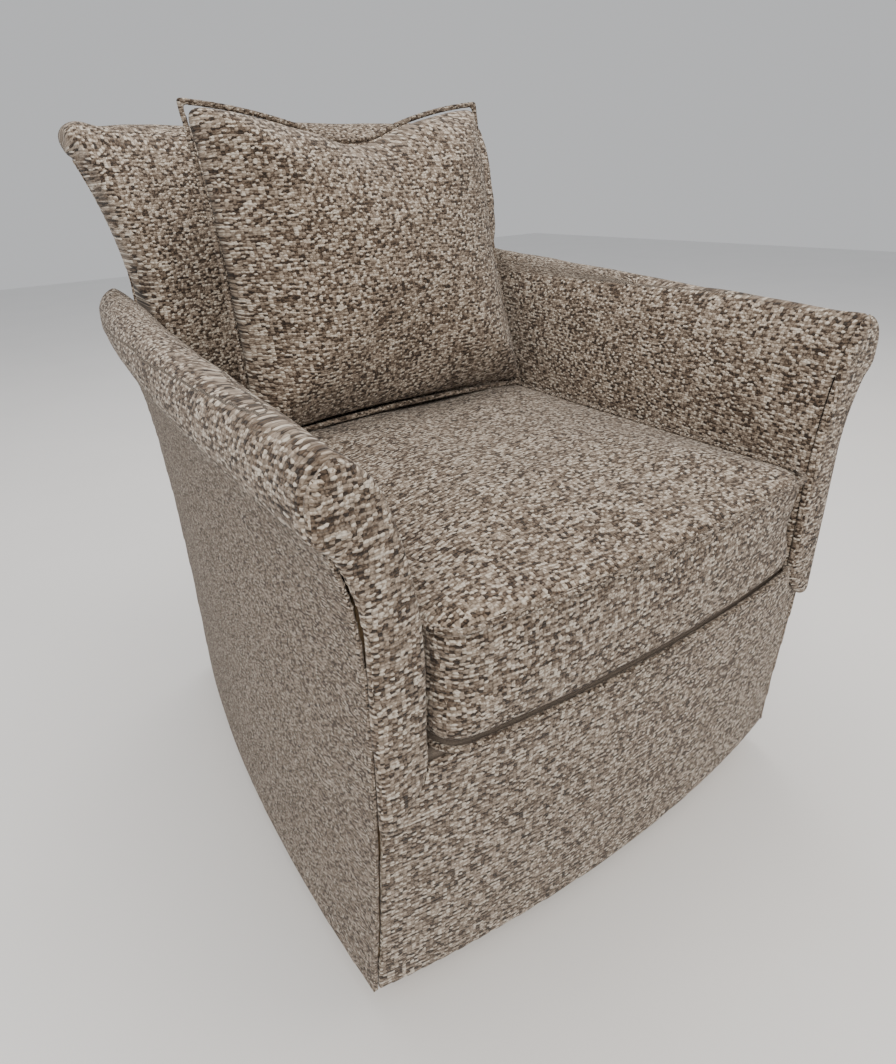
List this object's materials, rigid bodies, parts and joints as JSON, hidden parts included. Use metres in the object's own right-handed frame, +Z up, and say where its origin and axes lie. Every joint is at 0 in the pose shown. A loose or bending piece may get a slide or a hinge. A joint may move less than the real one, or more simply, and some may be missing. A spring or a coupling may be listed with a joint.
{
  "type": "swivel rocker armchair",
  "caption": "Upholstered armchair with loose seat cushion and back pillow, on a ring base that swivels and a sprung rocker.",
  "frame": {"origin": "on the floor, under the middle of the chair's outline", "axes": "+Z up, -Y towards the front of the seat, +X to the sitter's left hand"},
  "size_m": [0.8146, 0.8798, 0.9626],
  "materials": {
    "tweed": "chunky basket-weave tweed, cream slubs on taupe, brown and black",
    "welt_cloth": "piping in the same tweed",
    "hardwood": "sawn hardwood, unfinished",
    "black_steel": "satin black powder coat",
    "zinc_steel": "bright zinc plate",
    "nylon": "moulded nylon",
    "rubber": "moulded rubber",
    "zip_tape": "woven zip tape",
    "cambric": "black non-woven dust cloth",
    "webbing": "jute webbing",
    "deck_cloth": "plain deck cloth"
  },
  "bodies": {
    "base": {"base_ring": "black_steel", "base_cross": "black_steel", "floor_glides": "nylon", "lower_swivel_plate": "zinc_steel", "slip_ring": "nylon", "king_pin": "zinc_steel", "king_pin_nut": "zinc_steel"},
    "turntable": {"upper_swivel_plate": "zinc_steel", "cradle_floor": "black_steel", "cradle_cheek_left": "black_steel", "cradle_cheek_right": "black_steel", "pivot_bushes": "nylon", "lower_spring_cups": "zinc_steel", "front_rock_springs": "zinc_steel", "rear_rock_springs": "zinc_steel"},
    "chair": {"pivot_pins": "zinc_steel", "rocker_pan": "black_steel", "upper_spring_cups": "zinc_steel", "rubber_stops": "rubber", "front_slat": "hardwood", "rear_slat": "hardwood", "slat_bolts": "zinc_steel", "front_sole_rail": "hardwood", "back_sole_rail": "hardwood", "front_seat_rail": "hardwood", "back_seat_rail": "hardwood", "right_sole_rail": "hardwood", "right_seat_rail": "hardwood", "right_front_post": "hardwood", "right_arm_board": "hardwood", "right_back_post": "hardwood", "left_sole_rail": "hardwood", "left_seat_rail": "hardwood", "left_front_post": "hardwood", "left_arm_board": "hardwood", "left_back_post": "hardwood", "back_post_blocks": "hardwood", "back_top_rail": "hardwood", "back_cross_rail": "hardwood", "back_webbing": "webbing", "seat_springs": "zinc_steel", "seat_deck": "deck_cloth", "inside_arm_right": "tweed", "arm_front_right": "tweed", "outside_arm_right": "tweed", "inside_arm_left": "tweed", "arm_front_left": "tweed", "outside_arm_left": "tweed", "inside_back": "tweed", "outside_back": "tweed", "front_border": "tweed", "dust_cover": "cambric"},
    "seat_cushion": {"seat_cushion": "tweed", "cushion_welts": "welt_cloth", "cushion_zip": "zip_tape"},
    "back_pillow": {"back_pillow": "tweed", "pillow_welt": "welt_cloth"}
  },
  "joints": [
    {"name": "swivel", "type": "hinge", "parent": "base", "child": "turntable", "pos_m": [0, -0.03, 0.04], "axis": [0, 0, 1], "continuous": true},
    {"name": "rock", "type": "hinge", "parent": "turntable", "child": "chair", "pos_m": [0, -0.03, 0.092], "axis": [1, 0, 0], "range_deg": [-6, 4.5], "stiffness_Nm_per_rad": 1200, "deforming": ["front_rock_springs", "rear_rock_springs"]},
    {"name": "cushion_lift", "type": "slide", "parent": "chair", "child": "seat_cushion", "axis": [0, 0, 1], "range_m": [0, 0.3]},
    {"name": "pillow_lift", "type": "slide", "parent": "seat_cushion", "child": "back_pillow", "axis": [0, 0, 1], "range_m": [0, 0.3]}
  ]
}
